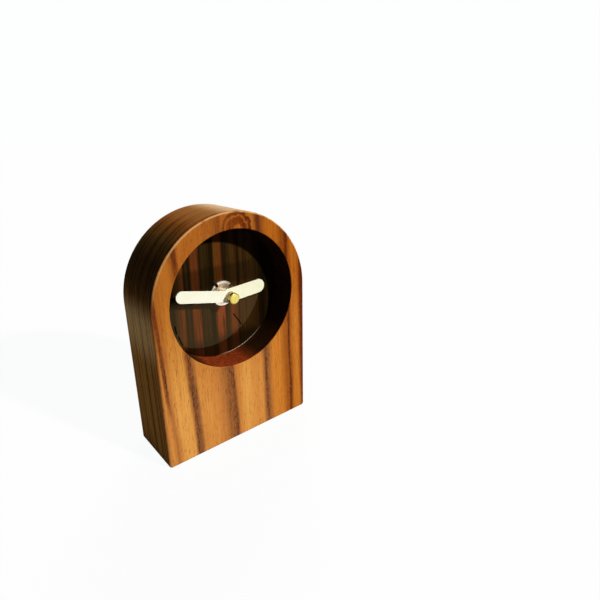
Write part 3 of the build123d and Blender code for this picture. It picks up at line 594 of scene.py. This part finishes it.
turnedMetals = {  # clean and worn tone, roughness, spacing of the rings in mm, and a rim's painted tone and edge
    "nickel": (tone(252, 247, 236), tone(240, 228, 204), 0.28, 0.5, (tone(206, 172, 118), 5.5, 4.3)),
    "brass": (tone(240, 222, 120), tone(222, 202, 100), 0.16, 0.16, (tone(138, 112, 36), 1.8, 2.5)),
    "turnedSteel": (tone(202, 202, 204), tone(164, 164, 166), 0.24, 0.16),
}
rolledMetals = {  # clean and worn tone, roughness, and the size of one mark of the rolls in mm
    "screwSteel": (tone(206, 206, 208), tone(168, 168, 170), 0.28, (0.3, 0.3, 2)),
    "motorSteel": (tone(186, 186, 188), tone(148, 148, 150), 0.3, (6, 0.3, 0.3)),
    "contactMetal": (tone(214, 210, 204), tone(176, 170, 160), 0.22, (0.3, 0.3, 5)),
    "coilCopper": (tone(206, 118, 66), tone(170, 86, 44), 0.3, (0.2, 0.2, 0.2)),
}
screwSlot = {
    "edge": (0.08, 0.2),  # below the face of the head, mm
    "tone": tone(34, 33, 32),
    "dullness": 0.8,
}


def makeTurnedMetal(name, clean, worn, roughness, pitch, rim=None):
    # Metal turned on a lathe about the shaft: fine rings and a few handling marks
    metal = Finish(name, Metallic=1.0)
    _, depth, _, radius = metal.aboutShaft()
    rings = metal.lineNoise(radius / pitch + depth / pitch, detail=2.0)
    dull = metal.step(metal.noise((1.4, 1.4, 1.4), detail=4.0, roughness=0.65), 0.45, 0.75)
    tint = metal.mix(dull, clean, worn)
    # Painted light: a tan painted reflection over the middle of the nickel, painted shade at the edge of
    # the brass
    if rim:
        paintedRimTone, start, full = rim
        tint = metal.mix(metal.step(radius, start, full) * 0.7, tint, paintedRimTone)
    metal.set("Base Color", tint)
    metal.set("Roughness", roughness + rings * 0.08 + dull * 0.1)
    metal.bump(rings, 0.003, 0.35)
    return metal


def makeRolledMetal(name, clean, worn, roughness, cell, slotted=False):
    # Sheet and wire, with the marks of rolling along one direction
    metal = Finish(name)
    lines = metal.noise(cell, detail=3.0, roughness=0.6)
    marks = metal.step(metal.noise((2.2, 2.2, 2.2), detail=4.0), 0.45, 0.75)
    tint = metal.mix(marks, clean, worn)
    metal.set("Metallic", 1.0)
    if slotted:  # the slots of the screws are darker and less metallic
        depth = metal.axes(metal.place())[1]
        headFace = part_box("cover_screws")[1].y * perMetre
        inSlot = metal.step(depth, *[headFace - below for below in screwSlot["edge"]])
        tint = metal.mix(inSlot, tint, screwSlot["tone"])
        metal.set("Metallic", 1 - inSlot * screwSlot["dullness"])
    metal.set("Base Color", tint)
    metal.set("Roughness", roughness + lines * 0.2 + marks * 0.1)
    metal.bump(lines, 0.004, 0.4)
    return metal


print("finish: metals")
dress(makeTurnedMetal("nickel", *turnedMetals["nickel"]), "round_nut", "threaded_bush")
dress(makeTurnedMetal("brass", *turnedMetals["brass"]), "cap_nut")
dress(makeTurnedMetal("turnedSteel", *turnedMetals["turnedSteel"]), "minute_arbor")
dress(makeRolledMetal("screwSteel", *rolledMetals["screwSteel"], slotted=True), "cover_screws")
dress(makeRolledMetal("motorSteel", *rolledMetals["motorSteel"]), "coil_core", "stator")
contactMetal = makeRolledMetal("contactMetal", *rolledMetals["contactMetal"])
dress(contactMetal, "positive_contact", "negative_contact", "quartz_crystal")


# Two tones, then roughness, size of the grain and its depth in mm where they differ from the usual
plastics = {
    "housingPlastic": (tone(38, 38, 40), tone(52, 52, 54)),
    "markPlastic": (tone(70, 70, 72), tone(86, 86, 88), 0.4),
    "platePlastic": (tone(238, 238, 232), tone(224, 224, 216)),
    "wheelPlastic": (tone(242, 241, 234), tone(228, 226, 214), 0.35, 0.5, 0.004),
    "knobPlastic": (tone(206, 58, 42), tone(184, 46, 34), 0.38, 0.4, 0.006),
    "bobbinPlastic": (tone(222, 216, 196), tone(206, 198, 174)),
    "washerRubber": (tone(30, 30, 30), tone(42, 42, 42), 0.75, 0.2, 0.02),
    "chipResin": (tone(22, 22, 23), tone(30, 30, 30), 0.2, 2.0, 0.02),
}
plasticParts = {
    "housingPlastic": ("movement_shell", "gear_cover"),
    "platePlastic": ("middle_plate", "train_bridge"),
    "wheelPlastic": ("hour_wheel", "motion_wheel", "setting_arbor", "centre_wheel", "third_wheel",
                     "seconds_wheel", "intermediate_wheel", "rotor_pinion"),
    "knobPlastic": ("setting_knob",),
    "bobbinPlastic": ("coil_bobbin",),
    "washerRubber": ("rubber_washer",),
    "chipResin": ("controller_chip",),
}


def makePlastic(name, colour, pale, roughness=0.45, grain=0.35, relief=0.012):
    # Moulded plastic: a fine spark-eroded grain, faint flow clouds and rubbed spots
    plastic = Finish(name, Specular_IOR_Level=0.45)
    cloud = plastic.noise((7, 7, 7), detail=3.0)
    pits = plastic.noise((grain, grain, grain), detail=2.0, roughness=0.6)
    rubbed = plastic.step(plastic.noise((3, 3, 3), detail=4.0, centre=(5, 5, 5)), 0.55, 0.8)
    plastic.set("Base Color", plastic.mix(plastic.step(cloud, 0.3, 0.7) * 0.6, colour, pale))
    plastic.set("Roughness", roughness + pits * 0.12 - rubbed * 0.12)
    plastic.bump(pits, relief, 0.6)
    return plastic


print("finish: plastics")
for name, parts in plasticParts.items():
    dress(makePlastic(name, *plastics[name]), *parts)


cell = {
    "sleeve": tone(44, 60, 88),
    "band": tone(196, 150, 74),
    "scuff": tone(150, 150, 152),
    "ends": tone(206, 204, 200),
    "bandStart": (13.5, 13.65),  # along the cell from the block's middle, mm
    "sleeveStart": (-23.6, -23.5),
    "sleeveEnd": (24.0, 23.9),
    "relief": 0.05,
}


def makeCellSleeve():
    # Plain two-colour shrink sleeve, with bare metal at both ends
    sleeve = Finish("cellSleeve")
    across = sleeve.axes(sleeve.place())[0]
    covered = sleeve.step(across, *cell["sleeveStart"]) * sleeve.step(across, *cell["sleeveEnd"])
    body = sleeve.mix(sleeve.step(across, *cell["bandStart"]), cell["sleeve"], cell["band"])
    scuffs = sleeve.step(sleeve.noise((8, 0.8, 0.8), detail=4.0), 0.58, 0.8)
    body = sleeve.mix(scuffs * 0.25, body, cell["scuff"])
    sleeve.set("Base Color", sleeve.mix(covered, cell["ends"], body))
    sleeve.set("Metallic", 1 - covered * 0.75)
    sleeve.set("Roughness", 0.2 + scuffs * 0.25 + sleeve.noise((2, 2, 2)) * 0.1)
    wrinkles = sleeve.noise((5, 2.5, 2.5))
    sleeve.bump(wrinkles * 0.6 + covered * 0.5, cell["relief"], 0.5)
    return sleeve


board = {
    "dark": tone(150, 112, 60),
    "light": tone(184, 142, 84),
    "track": tone(190, 186, 176),
    "middle": 81.5,  # height, mm
    "trackPace": 2.1,  # radians of the tracks' wave for each mm up
    "trackEnds": (7.5, 8.0),  # the tracks lie this far out to both sides
    "relief": 0.03,
}


def makeBoardLaminate():
    # Paper laminate with its weave, and tinned tracks along it
    laminate = Finish("boardLaminate")
    across, _, height = laminate.axes(laminate.place(centre=(0, 0, board["middle"])))
    speckle = laminate.noise((0.5, 0.5, 0.5), detail=3.0)
    tracks = laminate.step((height * board["trackPace"]).maths("SINE"), 0.55, 0.75)
    tracks = tracks * laminate.step(across.maths("ABSOLUTE"), *board["trackEnds"])
    weave = laminate.mix(speckle, board["dark"], board["light"])
    laminate.set("Base Color", laminate.mix(tracks, weave, board["track"]))
    laminate.set("Metallic", tracks)
    laminate.set("Roughness", 0.5 - tracks * 0.2 + speckle * 0.1)
    laminate.bump(tracks + speckle * 0.2, board["relief"], 0.6)
    return laminate


magnet = {"dark": tone(58, 58, 60), "light": tone(92, 92, 94), "grain": (0.25, 0.25, 0.25), "relief": 0.01}


def makeMagnetFerrite():
    ferrite = Finish("magnetFerrite")
    grains = ferrite.noise(magnet["grain"], detail=4.0, roughness=0.7)
    ferrite.set("Base Color", ferrite.mix(grains, magnet["dark"], magnet["light"]))
    ferrite.set("Roughness", 0.45 + grains * 0.3)
    ferrite.bump(grains, magnet["relief"], 0.6)
    return ferrite


print("finish: cell, board and magnet")
dress(makeCellSleeve(), "battery_cell")
dress(makeBoardLaminate(), "circuit_board")
dress(makeMagnetFerrite(), "rotor_magnet")


# The coil is one wire, wound in layers to and fro along the bobbin
coil = {
    "turns": 84,  # in each layer
    "layers": 3,
    "wire": 0.11,  # radius, mm
    "steps": 14,  # points in one turn
    "sides": 6,
}


def makeCoilWire():
    low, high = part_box("coil_winding")
    copper = makeRolledMetal("coilCopper", *rolledMetals["coilCopper"])
    tree = bpy.data.node_groups.new("coilWinding", "GeometryNodeTree")
    inputs = (
        ("Turns", "NodeSocketInt", coil["turns"]), ("Layers", "NodeSocketInt", coil["layers"]),
        ("Steps", "NodeSocketInt", coil["steps"]), ("Sides", "NodeSocketInt", coil["sides"]),
        ("Wire Radius", "NodeSocketFloat", coil["wire"] / perMetre),
        ("Outer Radius", "NodeSocketFloat", (high.z - low.z) / 2),
        ("Length", "NodeSocketFloat", high.x - low.x),
        ("Middle", "NodeSocketVector", tuple((low + high) / 2)),
        ("Material", "NodeSocketMaterial", copper.material),
    )
    for name, kind, value in inputs:
        tree.interface.new_socket(name, in_out="INPUT", socket_type=kind)
    tree.interface.new_socket("Geometry", in_out="OUTPUT", socket_type="NodeSocketGeometry")
    graph = Graph(tree)
    entry = tree.nodes.new("NodeGroupInput")
    given = {name: Link(graph, entry.outputs[name]) for name, kind, value in inputs}
    wire = given["Wire Radius"]

    # Points along a line, each placed by its number
    count = given["Turns"] * given["Layers"] * given["Steps"]
    line = graph.node("GeometryNodeCurvePrimitiveLine")
    points = graph.node("GeometryNodeResampleCurve", {}, {"Curve": line, "Count": count + 1})
    turn = graph.node("GeometryNodeInputIndex") / given["Steps"]
    layer = (turn / given["Turns"]).maths("FLOOR").maths("MINIMUM", given["Layers"] - 1)
    along = (turn / given["Turns"]).maths("PINGPONG", 1)
    radius = given["Outer Radius"] - wire * 2 * (given["Layers"] - layer) + wire
    angle = turn * math.tau
    spot = graph.node("ShaderNodeCombineXYZ", {}, {
        0: (along - 0.5) * (given["Length"] - wire * 2),
        1: radius * angle.maths("COSINE"), 2: radius * angle.maths("SINE"),
    })
    spot = graph.node("ShaderNodeVectorMath", {"operation": "ADD"}, {0: spot, 1: given["Middle"]})
    placed = graph.node("GeometryNodeSetPosition", {}, {"Geometry": points, "Position": spot})
    profile = graph.node("GeometryNodeCurvePrimitiveCircle", {}, {
        "Resolution": given["Sides"], "Radius": wire,
    })
    swept = graph.node("GeometryNodeCurveToMesh", {}, {
        "Curve": placed, "Profile Curve": profile, "Fill Caps": True,
    })
    smooth = graph.node("GeometryNodeSetShadeSmooth", {}, {"Geometry": swept})
    realized = graph.node("GeometryNodeRealizeInstances", {}, {"Geometry": smooth})
    finished = graph.node("GeometryNodeSetMaterial", {}, {
        "Geometry": realized, "Material": given["Material"],
    })
    leave = tree.nodes.new("NodeGroupOutput")
    tree.links.new(finished.socket, leave.inputs["Geometry"])

    holder = bpy.data.objects.new("coilHolder", bpy.data.meshes.new("coilHolder"))
    bpy.context.scene.collection.objects.link(holder)
    modifier = holder.modifiers.new("winding", "NODES")
    modifier.node_group = tree
    sockets = [item for item in tree.interface.items_tree if item.in_out == "INPUT"]
    identifiers = {item.name: item.identifier for item in sockets}
    for name, kind, value in inputs:
        modifier[identifiers[name]] = value
    return plainMesh(holder, "coil_wire")


def plainMesh(holder, name):
    # The evaluated result as an ordinary object, the modifier left behind
    bpy.context.view_layer.update()
    evaluated = holder.evaluated_get(bpy.context.evaluated_depsgraph_get())
    mesh = bpy.data.meshes.new_from_object(evaluated)
    mesh.name = name
    piece = bpy.data.objects.new(name, mesh)
    bpy.context.scene.collection.objects.link(piece)
    bpy.data.objects.remove(holder)
    return piece


coilWire = makeCoilWire()
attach(coilWire, "clock_case")
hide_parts("coil_winding")
print("coil wound:", len(coilWire.data.polygons), "faces")


# Marks moulded on the cover: an arrow with two heads over the knob, and a plus and a minus
# over the ends of the cell
coverMarks = {
    "height": 0.2,  # above the cover, mm
    "rooted": 0.1,  # below its face
    "bevel": 0.06,
    "bevelSteps": 2,
    "stroke": 0.8,
    "arrowRadius": 8.2,  # of its middle line about the knob
    "arrowEnds": (50, 130),  # degrees
    "arrowHead": (11, 1.1),  # degrees that one head takes up, and half its width
    "arrowSteps": 20,
    "signSize": 3.4,
    "signInset": 9.5,  # from the contact towards the middle
    "signRise": 3.4,  # above the cover's lower edge
}


def arrowOutline(middle):
    size = coverMarks
    (start, end), (head, wide) = size["arrowEnds"], size["arrowHead"]
    middleLine, half = size["arrowRadius"], size["stroke"] / 2
    steps = range(size["arrowSteps"] + 1)
    turns = [start + head + (end - start - 2 * head) * i / size["arrowSteps"] for i in steps]
    corners = [(turn, middleLine + half) for turn in turns]
    corners += [(end - head, middleLine + wide), (end, middleLine), (end - head, middleLine - wide)]
    corners += [(turn, middleLine - half) for turn in turns[::-1]]
    corners += [(start + head, middleLine - wide), (start, middleLine), (start + head, middleLine + wide)]
    return [(middle.x * perMetre + radius * math.cos(math.radians(turn)),
             middle.z * perMetre + radius * math.sin(math.radians(turn))) for turn, radius in corners]


def signOutline(contact, crossed):
    # A bar, or two crossed bars
    size = coverMarks
    low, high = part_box(contact)
    where = (low.x + high.x) / 2 * perMetre
    x = where - math.copysign(size["signInset"], where)
    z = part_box("gear_cover")[0].z * perMetre + size["signRise"]
    long, thin = size["signSize"] / 2, size["stroke"] / 2
    corners = [(-long, -thin), (long, -thin), (long, thin), (-long, thin)]
    if crossed:
        corners = [
            (thin, thin), (thin, long), (-thin, long), (-thin, thin), (-long, thin), (-long, -thin),
            (-thin, -thin), (-thin, -long), (thin, -long), (thin, -thin), (long, -thin), (long, thin),
        ]
    return [(x + dx, z + dz) for dx, dz in corners]


def makeCoverMarks():
    # Every outline turns the same way, so that foot, top and walls all face outwards
    low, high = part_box("setting_knob")
    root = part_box("gear_cover")[1].y - coverMarks["rooted"] / perMetre
    rise = (coverMarks["height"] + coverMarks["rooted"]) / perMetre
    outlines = (arrowOutline((low + high) / 2), signOutline("positive_contact", True),
                signOutline("negative_contact", False))
    points, faces = [], []
    for outline in outlines:
        count = len(outline)
        foot = range(len(points), len(points) + count)
        points += [(x / perMetre, y, z / perMetre) for y in (root, root + rise) for x, z in outline]
        faces += [foot, [i + count for i in reversed(foot)]]
        faces += [(j, i, i + count, j + count) for i, j in zip(foot, [*foot[1:], foot[0]])]
    mesh = bpy.data.meshes.new("cover_marks")
    mesh.from_pydata(points, [], faces)
    marks = bpy.data.objects.new("cover_marks", mesh)
    bpy.context.scene.collection.objects.link(marks)
    edge = marks.modifiers.new("edge", "BEVEL")
    edge.width = coverMarks["bevel"] / perMetre
    edge.segments = coverMarks["bevelSteps"]
    mesh.materials.append(makePlastic("markPlastic", *plastics["markPlastic"]).material)
    return marks


marks = makeCoverMarks()
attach(marks, "clock_case")
print("marks moulded on the cover")


# Two suns, a faint white world and a pale floor that keeps the clock's shadow
studio = {
    "keyHeading": 20.65,  # degrees to the right of the dial's front
    "keyHeight": 28.5,  # degrees above the horizon
    "keyAngle": 3.2,  # apparent size, which softens the shadow edges
    "keyStrength": 3.4,
    "keyColour": (1.0, 0.97, 0.91),
    "backHeading": 138,
    "backHeight": 32,
    "backAngle": 30,
    "backStrength": 1.5,
    "backColour": (1.0, 0.96, 0.88),
    "fill": 0.035,
    "background": (0.985, 0.99, 0.99),
    "floorSize": 40,  # m
    "floorDrop": 0.00005,  # m below the clock's foot
    "floorShade": (0.27, 0.26, 0.25),
    "floorShare": 0.8,  # how much of the plain background colour the seen floor has
}


def seenPlainly(graph):
    # 1 for what the camera sees straight, in a shiny surface or through a clear one
    path = graph.node("ShaderNodeLightPath", out="Is Camera Ray")
    outputs = path.socket.node.outputs
    seen = path.maths("MAXIMUM", Link(graph, outputs["Is Glossy Ray"]))
    return seen.maths("MAXIMUM", Link(graph, outputs["Is Transmission Ray"]))


def makeWorld():
    world = bpy.data.worlds.new("studio")
    bpy.context.scene.world = world
    world.use_nodes = True
    graph = Graph(world.node_tree)
    graph.tree.nodes.clear()
    soft = graph.node("ShaderNodeBackground", {}, {"Color": (1, 1, 1, 1), "Strength": studio["fill"]})
    plain = graph.node("ShaderNodeBackground", {}, {"Color": (*studio["background"], 1), "Strength": 1.0})
    both = graph.node("ShaderNodeMixShader", {}, {0: seenPlainly(graph), 1: soft, 2: plain})
    graph.node("ShaderNodeOutputWorld", {}, {"Surface": both})


def makeFloor():
    bpy.ops.mesh.primitive_plane_add(size=studio["floorSize"], location=(0, 0, -studio["floorDrop"]))
    floor = bpy.context.object
    floor.name = "studio_floor"
    material = bpy.data.materials.new("studioFloor")
    material.use_nodes = True
    graph = Graph(material.node_tree)
    graph.tree.nodes.clear()
    shade = graph.node("ShaderNodeBsdfDiffuse", {}, {"Color": (*studio["floorShade"], 1)})
    share = studio["floorShare"]
    lit = studio["fill"]  # the light on the floor, which its plain part has to make up to the background
    for name in ("key", "back"):
        lit += studio[name + "Strength"] / math.pi * math.sin(math.radians(studio[name + "Height"]))
    parts = zip(studio["background"], studio["floorShade"])
    colour = [(wanted - (1 - share) * shaded * lit) / share for wanted, shaded in parts]
    plain = graph.node("ShaderNodeEmission", {}, {"Color": (*colour, 1), "Strength": 1.0})
    both = graph.node("ShaderNodeMixShader", {}, {0: seenPlainly(graph) * share, 1: shade, 2: plain})
    graph.node("ShaderNodeOutputMaterial", {}, {"Surface": both})
    floor.data.materials.append(material)


def makeSun(name, heading, rise, angle, strength, colour):
    lamp = bpy.data.lights.new(name, "SUN")
    lamp.energy = strength
    lamp.angle = math.radians(angle)
    lamp.color = colour
    sun = bpy.data.objects.new(name, lamp)
    bpy.context.scene.collection.objects.link(sun)
    heading, rise = math.radians(heading), math.radians(rise)
    flat = math.cos(rise)
    towards = Vector((math.sin(heading) * flat, -math.cos(heading) * flat, math.sin(rise)))
    sun.location = towards
    sun.rotation_euler = towards.to_track_quat("Z", "Y").to_euler()


makeWorld()
makeFloor()
for name in ("key", "back"):
    settings = [studio[name + part] for part in ("Heading", "Height", "Angle", "Strength", "Colour")]
    makeSun(name, *settings)

camera = {
    "eye": (-0.101373, -0.177753, 0.140143),  # m
    "heading": -40.763,  # degrees
    "tilt": 70.738,
    "roll": -0.332,
    "lens": 26.558,  # mm
    "sensor": 36,
    "shift": (-0.00183, -0.00809),
    "nearest": 0.005,  # m
}


def makeCamera():
    lens = bpy.data.cameras.new("camera")
    lens.lens = camera["lens"]
    lens.sensor_width = camera["sensor"]
    lens.sensor_fit = "HORIZONTAL"
    lens.shift_x, lens.shift_y = camera["shift"]
    lens.clip_start = camera["nearest"]
    eye = bpy.data.objects.new("camera", lens)
    bpy.context.scene.collection.objects.link(eye)
    turned = Matrix.Rotation(math.radians(camera["heading"]), 4, "Z")
    turned = turned @ Matrix.Rotation(math.radians(camera["tilt"]), 4, "X")
    turned = turned @ Matrix.Rotation(math.radians(camera["roll"]), 4, "Z")
    eye.matrix_world = Matrix.Translation(camera["eye"]) @ turned
    bpy.context.scene.camera = eye


makeCamera()
bpy.context.scene.view_settings.view_transform = "Standard"
print("studio and camera set")
